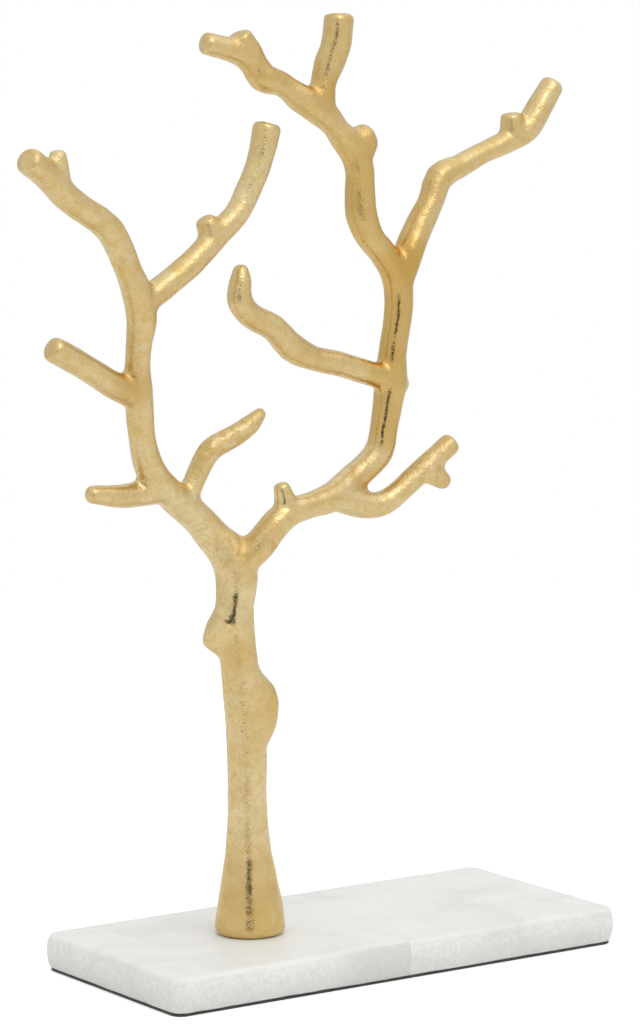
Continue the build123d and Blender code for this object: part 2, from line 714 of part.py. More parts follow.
with BuildPart() as left_prong:
    add(bough(left_prong_line, 1, CUT_END_SHARE))
    add(stump(left_prong_nub, CUT_END_SHARE))
    add_spigot(left_prong_line, 1)

with BuildPart() as left_side_twig:
    add(bough(left_side_twig_line, 1, CUT_END_SHARE))
    add_spigot(left_side_twig_line, 1)

with BuildPart() as left_low_twig:
    add(bough(left_low_twig_line, 1, BLUNT_END_SHARE))
    add_spigot(left_low_twig_line, 1)

with BuildPart() as left_inner_twig:
    add(bough(left_inner_twig_line, 1, BLUNT_END_SHARE))
    add_spigot(left_inner_twig_line, 1)

# Right limb with its stump and the root of the right low branch
with BuildPart() as right_limb:
    add(loft_between(right_limb_line, 1, right_limb_line.last))
    add(stump(right_limb_nub, CUT_END_SHARE))
    add_spigot(right_limb_line, 1)
    add(stub(right_low_branch_line))
    cut_socket(right_low_branch_line, 1)
    cut_socket(right_riser_line, 0)

with BuildPart() as right_low_branch:
    add(bough(right_low_branch_line, 1, CUT_END_SHARE))
    add(stump(right_low_nub, BLUNT_END_SHARE))
    add_spigot(right_low_branch_line, 1)

# Right riser with its knob and the roots of the inner and the high branch
with BuildPart() as right_riser:
    add(loft_between(right_riser_line, 0, right_riser_line.last))
    add(stump(right_riser_knob, BLUNT_END_SHARE))
    add_spigot(right_riser_line, 0)
    for branch in (right_inner_branch_line, right_high_branch_line):
        add(stub(branch))
        cut_socket(branch, 1)
    cut_socket(crown_limb_line, 0)

with BuildPart() as right_inner_branch:
    add(bough(right_inner_branch_line, 1, BLUNT_END_SHARE))
    add_spigot(right_inner_branch_line, 1)

with BuildPart() as right_high_branch:
    add(bough(right_high_branch_line, 1, CUT_END_SHARE))
    add(stump(right_high_nub, CUT_END_SHARE))
    add_spigot(right_high_branch_line, 1)

# Crown limb with its knob and the root of the crown prong
with BuildPart() as crown_limb:
    add(loft_between(crown_limb_line, 0, crown_limb_line.last))
    add(stump(crown_limb_knob, BLUNT_END_SHARE))
    add_spigot(crown_limb_line, 0)
    add(stub(crown_prong_line))
    cut_socket(crown_prong_line, 1)
    cut_socket(crown_branch_line, 0)

with BuildPart() as crown_branch:
    add(bough(crown_branch_line, 0, CUT_END_SHARE))
    add(stump(crown_branch_nub, CUT_END_SHARE))
    add_spigot(crown_branch_line, 0)

with BuildPart() as crown_prong:
    add(bough(crown_prong_line, 1, CUT_END_SHARE))
    add_spigot(crown_prong_line, 1)

# Marble slab with bulging sides, rounded corners, eased edges and a counterbored hole from below
with BuildPart() as marble_slab:
    for height_share, back_share in SLAB_SIDE_SHARES:
        back = back_share * SLAB_BULGE
        with BuildSketch(Plane.XY.offset(PAD_TOP + height_share * SLAB_THICKNESS)):
            RectangleRounded(SLAB_LENGTH - 2 * back, SLAB_WIDTH - 2 * back, SLAB_CORNER_RADIUS - back)
    loft()
    fillet(marble_slab.edges().group_by(Axis.Z)[-1], radius=SLAB_TOP_ROUND)
    fillet(marble_slab.edges().group_by(Axis.Z)[0], radius=SLAB_BOTTOM_ROUND)
    with Locations(Plane((TREE_OFFSET, 0, PAD_TOP), z_dir=(0, 0, -1))):
        CounterBoreHole(
            radius=BOLT_DIAMETER / 2 + BOLT_HOLE_CLEARANCE,
            counter_bore_radius=FLAT_WASHER_DIAMETER / 2 + COUNTERBORE_CLEARANCE,
            counter_bore_depth=COUNTERBORE_DEPTH,
        )

# Thin pad that covers the slab's underside and the counterbore
with BuildPart() as base_pad:
    with BuildSketch(Plane.XY):
        RectangleRounded(
            SLAB_LENGTH - 2 * PAD_INSET,
            SLAB_WIDTH - 2 * PAD_INSET,
            SLAB_CORNER_RADIUS - PAD_INSET,
        )
    extrude(amount=PAD_THICKNESS)

# Hexagon-head bolt, up through the slab into the trunk's foot
with BuildPart() as fixing_bolt:
    with BuildSketch(Plane((TREE_OFFSET, 0, BOLT_HEAD_BOTTOM))):
        RegularPolygon(BOLT_HEAD_FLATS / 2, side_count=6, major_radius=False)
    extrude(amount=BOLT_HEAD_HEIGHT)
    with BuildSketch(Plane((TREE_OFFSET, 0, LOCK_WASHER_BOTTOM))):
        Circle(BOLT_DIAMETER / 2)
    extrude(amount=BOLT_TOP - LOCK_WASHER_BOTTOM)
    chamfer(fixing_bolt.edges().group_by(Axis.Z)[-1], length=BOLT_TIP_CHAMFER)

# Split lock washer, against the bolt's head
with BuildPart() as lock_washer:
    with BuildSketch(Plane((TREE_OFFSET, 0, LOCK_WASHER_BOTTOM))):
        Circle(LOCK_WASHER_DIAMETER / 2)
        Circle(WASHER_BORE_DIAMETER / 2, mode=Mode.SUBTRACT)
        with Locations((LOCK_WASHER_DIAMETER / 2, 0)):
            Rectangle(LOCK_WASHER_DIAMETER, LOCK_WASHER_GAP, mode=Mode.SUBTRACT)
    extrude(amount=LOCK_WASHER_THICKNESS)

# Flat washer, against the floor of the counterbore
with BuildPart() as flat_washer:
    with BuildSketch(Plane((TREE_OFFSET, 0, FLAT_WASHER_BOTTOM))):
        Circle(FLAT_WASHER_DIAMETER / 2)
        Circle(WASHER_BORE_DIAMETER / 2, mode=Mode.SUBTRACT)
    extrude(amount=FLAT_WASHER_THICKNESS)

pieces = {
    "trunk": trunk,
    "left_limb": left_limb,
    "left_crook": left_crook,
    "left_prong": left_prong,
    "left_side_twig": left_side_twig,
    "left_low_twig": left_low_twig,
    "left_inner_twig": left_inner_twig,
    "right_limb": right_limb,
    "right_low_branch": right_low_branch,
    "right_riser": right_riser,
    "right_inner_branch": right_inner_branch,
    "right_high_branch": right_high_branch,
    "crown_limb": crown_limb,
    "crown_branch": crown_branch,
    "crown_prong": crown_prong,
    "marble_slab": marble_slab,
    "base_pad": base_pad,
    "fixing_bolt": fixing_bolt,
    "lock_washer": lock_washer,
    "flat_washer": flat_washer,
}
os.makedirs("parts", exist_ok=True)
for name, piece in pieces.items():
    piece.part.label = name
    export_step(piece.part, f"parts/{name}.step")
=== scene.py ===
"""Jewelry tree: satin gold castings on a white marble slab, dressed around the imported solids."""

import logging
from dataclasses import dataclass, field
from enum import Enum
from typing import Any

import bmesh
import bpy
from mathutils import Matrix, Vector, noise
from mathutils.bvhtree import BVHTree


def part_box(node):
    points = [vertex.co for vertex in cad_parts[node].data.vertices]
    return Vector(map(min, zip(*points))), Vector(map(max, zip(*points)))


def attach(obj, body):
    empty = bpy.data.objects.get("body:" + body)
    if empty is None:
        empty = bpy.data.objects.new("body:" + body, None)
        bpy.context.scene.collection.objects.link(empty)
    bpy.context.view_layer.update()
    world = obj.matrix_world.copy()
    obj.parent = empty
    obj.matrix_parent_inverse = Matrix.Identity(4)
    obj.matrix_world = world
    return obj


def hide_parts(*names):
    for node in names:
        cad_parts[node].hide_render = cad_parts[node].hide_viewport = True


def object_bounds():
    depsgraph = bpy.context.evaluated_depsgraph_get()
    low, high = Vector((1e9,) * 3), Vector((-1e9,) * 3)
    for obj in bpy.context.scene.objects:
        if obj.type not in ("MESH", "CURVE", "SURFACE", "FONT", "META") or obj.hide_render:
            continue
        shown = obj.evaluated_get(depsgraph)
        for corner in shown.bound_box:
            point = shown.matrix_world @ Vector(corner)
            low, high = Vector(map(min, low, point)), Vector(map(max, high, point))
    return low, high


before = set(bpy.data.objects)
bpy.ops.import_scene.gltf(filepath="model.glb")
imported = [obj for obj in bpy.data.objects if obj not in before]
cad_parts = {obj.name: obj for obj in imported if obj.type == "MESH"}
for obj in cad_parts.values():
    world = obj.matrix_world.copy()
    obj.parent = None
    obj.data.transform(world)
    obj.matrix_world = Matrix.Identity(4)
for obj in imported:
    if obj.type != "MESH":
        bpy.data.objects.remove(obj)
CAD_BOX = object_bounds()
LOG = logging.getLogger("jewelry_tree")
BODY = "root"

# Names of the values that a mesh carries.
HOLLOW = "hollow"
SIDE = "side"
SKIN_NORMAL = "skin_normal"
CASTING = "casting"

MERGE_DISTANCE = 1e-6
RELAX_FACTOR = 0.5
MILLIMETRES = 1000.0
UP = Vector((0.0, 0.0, 1.0))
WHITE = (1.0, 1.0, 1.0, 1.0)

Colour = tuple[float, float, float]
Place = tuple[float, float, float]
Span = tuple[float, float]
Socket = bpy.types.NodeSocket
UNIT: Span = (0.0, 1.0)


class Slot(Enum):
    """Names of three material slots, which this script gives to no piece."""

    GOLD = "gold_casting"
    MARBLE = "white_marble"
    FELT = "dark_pad"


class Group(Enum):
    """The node groups that the finishes share."""

    PATCHES = "soft_patches"
    GRAIN = "fine_grain"


@dataclass(frozen=True)
class Clouds:
    """Cloudy patches: their scale, and the noise levels where they start and are full."""

    scale: float
    low: float
    high: float


@dataclass(frozen=True)
class Patch:
    """A round patch of a surface: its middle, where it starts to fade and ends, its strength."""

    place: Place
    near: float
    far: float
    share: float


@dataclass(frozen=True)
class Relief:
    """A bump: its strength and its depth in metres."""

    strength: float
    depth: float


class NodeBoard:
    """A node tree with short ways to add nodes and wire them."""

    # The Mix node's colour sockets, which share their names with its other sockets.
    MIX_LOW = 6
    MIX_HIGH = 7
    MIX_RESULT = 2

    def __init__(self, tree: bpy.types.NodeTree) -> None:
        """Keep the tree that the nodes go into."""
        self.tree = tree

    def add(self, kind: str, **values: Any) -> bpy.types.Node:
        """Add a node.

        Args:
            kind: the node's type name.
            values: its properties by name, or its inputs by name with spaces as underscores.

        Returns:
            The new node.
        """
        node = self.tree.nodes.new(kind)
        for name, value in values.items():
            if hasattr(node, name):
                setattr(node, name, value)
            else:
                node.inputs[name.replace("_", " ")].default_value = value
        return node

    def wire(self, source: Any, target: Socket) -> None:
        """Feed an input.

        Args:
            source: the socket that it is linked to, or the value that it is set to.
            target: the input.
        """
        if isinstance(source, Socket):
            self.tree.links.new(source, target)
        else:
            target.default_value = source

    def place(self) -> Socket:
        """Add the Object coordinates."""
        return self.add("ShaderNodeTexCoord").outputs["Object"]

    def noted(self, name: str) -> Socket:
        """Read a value that the mesh carries."""
        return self.add("ShaderNodeAttribute", attribute_name=name).outputs["Fac"]

    def seen(self) -> Socket:
        """Tell the rays that come straight from the camera."""
        return self.add("ShaderNodeLightPath").outputs["Is Camera Ray"]

    def group(self, group: Group, place: Socket, **values: float) -> bpy.types.Node:
        """Place a shared node group.

        Args:
            group: the group.
            place: the coordinates that it reads.
            values: its other inputs by name.

        Returns:
            The group node.
        """
        tree = bpy.data.node_groups[group.value]
        node = self.add("ShaderNodeGroup", node_tree=tree, **values)
        self.wire(place, node.inputs["Vector"])
        return node

    def clouds(self, place: Socket, clouds: Clouds) -> Socket:
        """Mask cloudy patches.

        Args:
            place: the coordinates.
            clouds: the patches.

        Returns:
            The mask's socket.
        """
        values = {"Scale": clouds.scale, "Low": clouds.low, "High": clouds.high}
        return self.group(Group.PATCHES, place, **values).outputs["Mask"]

    def cover(self, place: Socket, patches: tuple[Patch, ...]) -> Socket:
        """Mask some round patches.

        Args:
            place: the coordinates.
            patches: the patches.

        Returns:
            The mask's socket.
        """
        most = None
        for patch in patches:
            away = self.add("ShaderNodeVectorMath", operation="DISTANCE")
            self.wire(place, away.inputs[0])
            self.wire(patch.place, away.inputs[1])
            span = (patch.near, patch.far)
            share = self.remap(away.outputs["Value"], span, (patch.share, 0.0))
            most = share if most is None else self.larger(most, share)
        return most

    def blend(self, mask: Socket, low: Any, high: Any) -> Socket:
        """Mix two colours by a mask.

        Args:
            mask: the mask's socket.
            low: the colour at 0, as a socket or as three numbers.
            high: the colour at 1, as a socket or as three numbers.

        Returns:
            The mixed colour's socket.
        """
        node = self.add("ShaderNodeMix", data_type="RGBA")
        self.wire(mask, node.inputs[0])
        for index, colour in ((self.MIX_LOW, low), (self.MIX_HIGH, high)):
            given = colour if isinstance(colour, Socket) else (*colour, 1.0)
            self.wire(given, node.inputs[index])
        return node.outputs[self.MIX_RESULT]

    def tint(self, under: Any, mask: Socket, share: float, colour: Colour) -> Socket:
        """Lay a colour over another by a mask.

        Args:
            under: the colour below, as a socket or as three numbers.
            mask: the mask's socket.
            share: how much of the colour above shows where the mask is full.
            colour: the colour above.

        Returns:
            The mixed colour's socket.
        """
        return self.blend(self.remap(mask, UNIT, (0.0, share)), under, colour)

    def remap(self, value: Socket, source: tuple[Any, Any], target: Span) -> Socket:
        """Map a value from one range to another, smoothly.

        Args:
            value: the value's socket.
            source: the range that it comes from, as sockets or numbers.
            target: the range that it goes to.

        Returns:
            The mapped value's socket.
        """
        node = self.add("ShaderNodeMapRange", interpolation_type="SMOOTHSTEP")
        for given, socket in zip((value, *source, *target), node.inputs):
            self.wire(given, socket)
        return node.outputs[0]

    def join(self, operation: str, *values: Any) -> Socket:
        """Work out one value from some others.

        Args:
            operation: the operation's name.
            values: the others, as sockets or numbers.

        Returns:
            The result's socket.
        """
        node = self.add("ShaderNodeMath", operation=operation)
        for given, socket in zip(values, node.inputs):
            self.wire(given, socket)
        return node.outputs[0]

    def times(self, one: Any, other: Any) -> Socket:
        """Multiply two values."""
        return self.join("MULTIPLY", one, other)

    def larger(self, one: Any, other: Any) -> Socket:
        """Take the larger of two values."""
        return self.join("MAXIMUM", one, other)


@dataclass(frozen=True)
class SharedGroups:
    """The node groups that more than one finish uses."""

    patch_detail: float = 4.0
    patch_roughness: float = 0.55
    patch_distortion: float = 0.6
    grain_detail: float = 3.0
    grain_roughness: float = 0.6
    cell_share: float = 0.35
    speck_levels: Span = (0.56, 0.7)

    def build(self) -> None:
        """Build each group once."""
        self.soft_patches()
        self.fine_grain()

    def start(
        self, group: Group, inputs: tuple[str, ...], outputs: tuple[str, ...]
    ) -> tuple[NodeBoard, bpy.types.Node, bpy.types.Node]:
        """Start a group that reads a vector.

        Args:
            group: the group.
            inputs: the names of its value inputs.
            outputs: the names of its value outputs.

        Returns:
            The board, the group's input node and its output node.
        """
        tree = bpy.data.node_groups.new(group.value, "ShaderNodeTree")
        sockets = tree.interface
        sockets.new_socket("Vector", in_out="INPUT", socket_type="NodeSocketVector")
        for name in inputs:
            sockets.new_socket(name, in_out="INPUT", socket_type="NodeSocketFloat")
        for name in outputs:
            sockets.new_socket(name, in_out="OUTPUT", socket_type="NodeSocketFloat")
        board = NodeBoard(tree)
        return board, board.add("NodeGroupInput"), board.add("NodeGroupOutput")

    def soft_patches(self) -> None:
        """Cloudy patches with soft borders, as a mask."""
        board, start, end = self.start(Group.PATCHES, ("Scale", "Low", "High"), ("Mask",))
        cloud = board.add(
            "ShaderNodeTexNoise",
            Detail=self.patch_detail,
            Roughness=self.patch_roughness,
            Distortion=self.patch_distortion,
        )
        for name in ("Vector", "Scale"):
            board.wire(start.outputs[name], cloud.inputs[name])
        levels = (start.outputs["Low"], start.outputs["High"])
        board.wire(board.remap(cloud.outputs["Fac"], levels, UNIT), end.inputs["Mask"])

    def fine_grain(self) -> None:
        """Fine grain with sharper specks, as a height and a mask of the specks."""
        board, start, end = self.start(Group.GRAIN, ("Scale",), ("Height", "Specks"))
        fine = board.add(
            "ShaderNodeTexNoise", Detail=self.grain_detail, Roughness=self.grain_roughness
        )
        cells = board.add("ShaderNodeTexVoronoi", feature="F1")
        for node in (fine, cells):
            for name in ("Vector", "Scale"):
                board.wire(start.outputs[name], node.inputs[name])
        grain = fine.outputs["Fac"]
        height = board.join("MULTIPLY_ADD", cells.outputs["Distance"], self.cell_share, grain)
        board.wire(height, end.inputs["Height"])
        board.wire(board.remap(grain, self.speck_levels, UNIT), end.inputs["Specks"])


class Finish:
    """What all finishes share: a material with its shader and its bumps."""

    name: str

    def begin(self, **values: Any) -> tuple[bpy.types.Material, NodeBoard, bpy.types.Node]:
        """Start a material.

        Args:
            values: the shader's inputs that are the same all over, with spaces as underscores.

        Returns:
            The material, its board and its shader node.
        """
        material = bpy.data.materials.new(self.name)
        material.use_nodes = True
        board = NodeBoard(material.node_tree)
        shader = material.node_tree.nodes["Principled BSDF"]
        for name, value in values.items():
            board.wire(value, shader.inputs[name.replace("_", " ")])
        return material, board, shader

    def bump(
        self, board: NodeBoard, shader: bpy.types.Node, bumps: list[tuple[Socket, Relief]]
    ) -> None:
        """Stack bumps on the shader's normal.

        Args:
            board: the material's board.
            shader: its shader node.
            bumps: for each bump its height's socket and its relief.
        """
        below = None
        for height, relief in bumps:
            node = board.add("ShaderNodeBump", Strength=relief.strength, Distance=relief.depth)
            board.wire(height, node.inputs["Height"])
            if below is not None:
                board.wire(below.outputs["Normal"], node.inputs["Normal"])
            below = node
        board.wire(below.outputs["Normal"], shader.inputs["Normal"])


@dataclass(frozen=True)
class GoldFinish(Finish):
    """Satin gold plating on a fine sand-cast surface.

    It is deeper in stains and in patches of painted shade, painted a brown shade where the forks
    meet, smooth and glossy where it was rubbed, and duller in the satin patches.
    """

    name: str = "satin_gold"
    pale: Colour = (0.79, 0.65, 0.37)
    plain: Colour = (0.74, 0.577, 0.285)
    # Deeper gold tone: the real stains, mottle and specks take it, and so do the patches of
    # painted shade.
    deep_stain_and_shade: Colour = (0.65, 0.43, 0.137)
    # Brown painted shade for the angles where the forks meet and for the hollows.
    crotch_shade: Colour = (0.60, 0.345, 0.085)
    pit: Colour = (0.16, 0.09, 0.03)
    # Round patches of painted shade: they darken limbs and the trunk's base that the lights leave
    # too bright.
    painted_shade_patches: tuple[Patch, ...] = (
        Patch((0.036, 0.0, 0.245), 0.018, 0.036, 0.8),
        Patch((0.036, 0.0, 0.290), 0.018, 0.036, 0.85),
        Patch((0.022, 0.0, 0.335), 0.015, 0.05, 0.8),
        Patch((-0.015, 0.0, 0.388), 0.02, 0.055, 0.5),
        Patch((-0.020, 0.0, 0.280), 0.02, 0.06, 0.35),
        Patch((0.090, 0.0, 0.355), 0.03, 0.06, 0.2),
        Patch((-0.055, 0.0, 0.335), 0.03, 0.05, 0.12),
        Patch((0.055, 0.0, 0.218), 0.012, 0.04, 0.25),
        Patch((-0.098, -0.010, 0.270), 0.02, 0.08, 0.2),
        Patch((-0.046, -0.005, 0.183), 0.004, 0.022, 0.45),
        Patch((-0.055, -0.006, 0.138), 0.002, 0.012, 0.5),
        Patch((-0.034, -0.006, 0.116), 0.004, 0.018, 0.6),
        Patch((-0.044, 0.0, 0.010), 0.02, 0.06, 0.6),
    )
    rubbed: tuple[Patch, ...] = (
        Patch((0.036, 0.0, 0.243), 0.02, 0.034, 0.75),
        Patch((0.036, 0.0, 0.290), 0.02, 0.034, 0.75),
        Patch((-0.055, -0.007, 0.157), 0.007, 0.016, 0.85),
        Patch((-0.050, -0.011, 0.036), 0.013, 0.028, 0.75),
        Patch((-0.027, -0.006, 0.203), 0.005, 0.013, 0.8),
        Patch((-0.004, -0.006, 0.400), 0.008, 0.025, 0.5),
    )
    # Painted shade: round patches where the forks meet take the brown shade colour.
    web_shade_patches: tuple[Patch, ...] = (
        Patch((0.034, -0.004, 0.302), 0.004, 0.016, 0.6),
        Patch((-0.096, -0.008, 0.291), 0.003, 0.014, 0.5),
        Patch((-0.006, -0.004, 0.376), 0.003, 0.012, 0.5),
        Patch((-0.107, -0.010, 0.257), 0.003, 0.014, 0.5),
        Patch((-0.104, -0.010, 0.212), 0.003, 0.012, 0.45),
        Patch((0.024, -0.004, 0.264), 0.003, 0.012, 0.5),
        Patch((0.015, -0.004, 0.209), 0.003, 0.012, 0.45),
    )
    satin: tuple[Patch, ...] = (
        Patch((-0.0568, -0.006, 0.1855), 0.007, 0.013, 1.0),
        Patch((-0.038, -0.006, 0.188), 0.005, 0.010, 1.0),
        Patch((0.055, 0.0, 0.218), 0.015, 0.034, 1.0),
        Patch((-0.055, -0.004, 0.236), 0.014, 0.03, 0.8),
    )
    tones: Clouds = Clouds(30.0, 0.36, 0.66)
    stains: Clouds = Clouds(95.0, 0.46, 0.7)
    mottle: Clouds = Clouds(330.0, 0.4, 0.68)
    pores: Clouds = Clouds(420.0, 0.72, 0.77)
    lump_scale: float = 300.0
    grain_scale: float = 950.0
    stain_share: float = 0.4
    mottle_share: float = 0.38
    speck_share: float = 0.45
    hollow_shade_share: float = 0.9
    hollow_shade_depths: Span = (0.05, 0.6)
    roughness: Span = (0.23, 0.37)
    rubbed_roughness: float = 0.55
    rubbed_relief: float = 0.3
    satin_roughness: float = 1.9
    lump_relief: Relief = Relief(0.6, 0.0003)
    grain_relief: Relief = Relief(0.8, 0.00022)

    def material(self) -> bpy.types.Material:
        """Build the material.

        Returns:
            The material.
        """
        material, board, shader = self.begin(Metallic=1.0)
        place = board.place()
        mottle = board.clouds(place, self.mottle)
        grain = board.group(Group.GRAIN, place, Scale=self.grain_scale)
        lumps = board.group(Group.GRAIN, place, Scale=self.lump_scale)
        tone = board.blend(board.clouds(place, self.tones), self.pale, self.plain)
        # Painted shade: the round patches darken the gold towards the deeper tone.
        tone = board.blend(board.cover(place, self.painted_shade_patches), tone, self.deep_stain_and_shade)
        tone = board.tint(tone, board.clouds(place, self.stains), self.stain_share, self.deep_stain_and_shade)
        tone = board.tint(tone, mottle, self.mottle_share, self.deep_stain_and_shade)
        # Painted shade: the patches where the forks meet, and each vertex by how far it lies in a
        # hollow, turn brown.
        tone = board.blend(board.cover(place, self.web_shade_patches), tone, self.crotch_shade)
        hollow_shade = board.remap(board.noted(HOLLOW), self.hollow_shade_depths, (0.0, self.hollow_shade_share))
        tone = board.blend(hollow_shade, tone, self.crotch_shade)
        tone = board.tint(tone, grain.outputs["Specks"], self.speck_share, self.deep_stain_and_shade)
        tone = board.blend(board.clouds(place, self.pores), tone, self.pit)
        board.wire(tone, shader.inputs["Base Color"])
        rubbed = board.cover(place, self.rubbed)
        glossy = board.remap(rubbed, UNIT, (1.0, self.rubbed_roughness))
        satin = board.remap(board.cover(place, self.satin), UNIT, (1.0, self.satin_roughness))
        rough = board.times(board.remap(mottle, UNIT, self.roughness), glossy)
        board.wire(board.times(rough, satin), shader.inputs["Roughness"])
        coarse = board.remap(rubbed, UNIT, (1.0, self.rubbed_relief))
        bumps = [
            (board.times(lumps.outputs["Height"], coarse), self.lump_relief),
            (board.times(grain.outputs["Height"], coarse), self.grain_relief),
        ]
        self.bump(board, shader, bumps)
        return material


@dataclass(frozen=True)
class MarbleFinish(Finish):
    """Honed white marble: blocks that differ a little in tone, grey clouds and a fine grain.

    The sides, worked by grinding, are greyer and more mottled than the top, partly as painted
    shade, and they are painted darker towards the bottom as shade; the front side has one greyer
    crystal.
    """

    name: str = "honed_marble"
    white: Colour = (0.89, 0.898, 0.868)
    cloud: Colour = (0.745, 0.755, 0.72)
    crystal: Colour = (0.90, 0.91, 0.89)
    grey: Colour = (0.66, 0.655, 0.61)
    # Grey of the sides: partly their own grinding grain, partly painted shade on the sides and at
    # their bottom.
    side_grey_and_shade: Colour = (0.56, 0.56, 0.54)
    clouds: Clouds = Clouds(24.0, 0.42, 0.85)
    flecks: Clouds = Clouds(85.0, 0.45, 0.75)
    mottle: Clouds = Clouds(560.0, 0.25, 0.75)
    block_scale: float = 19.0
    grain_scale: float = 700.0
    block_share: float = 0.12
    cloud_share: float = 0.7
    fleck_share: float = 0.22
    speck_share: float = 0.25
    side_levels: Span = (0.2, 0.9)
    top_mottle: float = 0.06
    side_mottle_and_shade: float = 0.4
    # Heights over which the painted shade at the bottom of the sides fades, and its strength.
    foot_shade_heights: Span = (0.001, 0.013)
    foot_shade: float = 0.4
    grey_left: Span = (-0.042, -0.018)
    grey_right: Span = (0.0031, 0.0034)
    grey_front: Span = (-0.0516, -0.0506)
    grey_share: float = 0.6
    roughness: Span = (0.42, 0.55)
    relief: Relief = Relief(0.15, 0.00015)
    glow_share: float = 0.1
    glow_depth: float = 0.003

    def material(self) -> bpy.types.Material:
        """Build the material.

        Returns:
            The material.
        """
        material, board, shader = self.begin(
            Subsurface_Weight=self.glow_share, Subsurface_Scale=self.glow_depth
        )
        place = board.place()
        clouds = board.clouds(place, self.clouds)
        flecks = board.clouds(place, self.flecks)
        grain = board.group(Group.GRAIN, place, Scale=self.grain_scale)
        side = board.noted(SIDE)
        blocks = board.add("ShaderNodeTexVoronoi", Scale=self.block_scale)
        board.wire(place, blocks.inputs["Vector"])
        body = board.tint(self.white, blocks.outputs["Color"], self.block_share, self.cloud)
        body = board.tint(body, clouds, self.cloud_share, self.cloud)
        body = board.tint(body, flecks, self.fleck_share, self.cloud)
        body = board.blend(self.grey_crystal(board, place), body, self.grey)
        # The sides get more grey mottle than the top: partly their own grain, partly painted
        # shade.
        share = board.remap(side, self.side_levels, (self.top_mottle, self.side_mottle_and_shade))
        mottle = board.times(board.clouds(place, self.mottle), share)
        body = board.blend(mottle, body, self.side_grey_and_shade)
        # Painted shade: the sides are darkened towards the bottom, near the table.
        body = board.blend(board.times(side, self.foot_shade_mask(board, place)), body, self.side_grey_and_shade)
        body = board.tint(body, grain.outputs["Specks"], self.speck_share, self.crystal)
        board.wire(body, shader.inputs["Base Color"])
        board.wire(board.remap(clouds, UNIT, self.roughness), shader.inputs["Roughness"])
        self.bump(board, shader, [(grain.outputs["Height"], self.relief)])
        return material

    def foot_shade_mask(self, board: NodeBoard, place: Socket) -> Socket:
        """Mask the lower part of the sides, which is painted darker towards the bottom as shade.

        Args:
            board: the material's board.
            place: the Object coordinates' socket.

        Returns:
            The mask's socket.
        """
        axes = board.add("ShaderNodeSeparateXYZ")
        board.wire(place, axes.inputs[0])
        return board.remap(axes.outputs["Z"], self.foot_shade_heights, (self.foot_shade, 0.0))

    def grey_crystal(self, board: NodeBoard, place: Socket) -> Socket:
        """Mask the greyer crystal in the front side, which ends at a straight face on its right.

        Args:
            board: the material's board.
            place: the Object coordinates' socket.

        Returns:
            The mask's socket.
        """
        axes = board.add("ShaderNodeSeparateXYZ")
        board.wire(place, axes.inputs[0])
        left = board.remap(axes.outputs["X"], self.grey_left, (0.0, self.grey_share))
        right = board.remap(axes.outputs["X"], self.grey_right, (1.0, 0.0))
        front = board.remap(axes.outputs["Y"], self.grey_front, (1.0, 0.0))
        return board.times(board.times(left, right), front)


@dataclass(frozen=True)
class FeltFinish(Finish):
    """Dark felt with a short nap."""

    name: str = "dark_felt"
    nap: Colour = (0.030, 0.025, 0.021)
    worn: Colour = (0.055, 0.046, 0.038)
    patches: Clouds = Clouds(140.0, 0.4, 0.7)
    nap_scale: float = 1600.0
    sheen: float = 0.3
    sheen_roughness: float = 0.6
    roughness: Span = (0.86, 0.98)
    relief: Relief = Relief(0.6, 0.0002)

    def material(self) -> bpy.types.Material:
        """Build the material.

        Returns:
            The material.
        """
        material, board, shader = self.begin(
            Sheen_Weight=self.sheen, Sheen_Roughness=self.sheen_roughness
        )
        place = board.place()
        nap = board.group(Group.GRAIN, place, Scale=self.nap_scale)
        tone = board.blend(board.clouds(place, self.patches), self.nap, self.worn)
        board.wire(tone, shader.inputs["Base Color"])
        rough = board.remap(nap.outputs["Specks"], UNIT, self.roughness)
        board.wire(rough, shader.inputs["Roughness"])
        self.bump(board, shader, [(nap.outputs["Height"], self.relief)])
        return material


@dataclass(frozen=True)
class ZincFinish(Finish):
    """Zinc-plated steel of the bolt and washers."""

    name: str = "zinc_plate"
    bright: Colour = (0.64, 0.65, 0.67)
    dull: Colour = (0.50, 0.51, 0.52)
    patches: Clouds = Clouds(260.0, 0.35, 0.7)
    grain_scale: float = 1500.0
    roughness: Span = (0.28, 0.45)
    relief: Relief = Relief(0.1, 0.00005)

    def material(self) -> bpy.types.Material:
        """Build the material.

        Returns:
            The material.
        """
        material, board, shader = self.begin(Metallic=1.0)
        place = board.place()
        patches = board.clouds(place, self.patches)
        grain = board.group(Group.GRAIN, place, Scale=self.grain_scale)
        board.wire(board.blend(patches, self.bright, self.dull), shader.inputs["Base Color"])
        board.wire(board.remap(patches, UNIT, self.roughness), shader.inputs["Roughness"])
        self.bump(board, shader, [(grain.outputs["Height"], self.relief)])
        return material


@dataclass(frozen=True)
class TableFinish(Finish):
    """Pale matt table top, lifted to white where the camera looks at it."""

    name: str = "pale_table"
    colour: Colour = (0.92, 0.92, 0.92)
    roughness: float = 0.9
    gloss: float = 0.1
    glow: float = 0.36

    def material(self) -> bpy.types.Material:
        """Build the material.

        Returns:
            The material.
        """
        material, board, shader = self.begin(
            Base_Color=(*self.colour, 1.0),
            Roughness=self.roughness,
            Specular_IOR_Level=self.gloss,
            Emission_Color=WHITE,
        )
        board.wire(board.times(board.seen(), self.glow), shader.inputs["Emission Strength"])
        return material


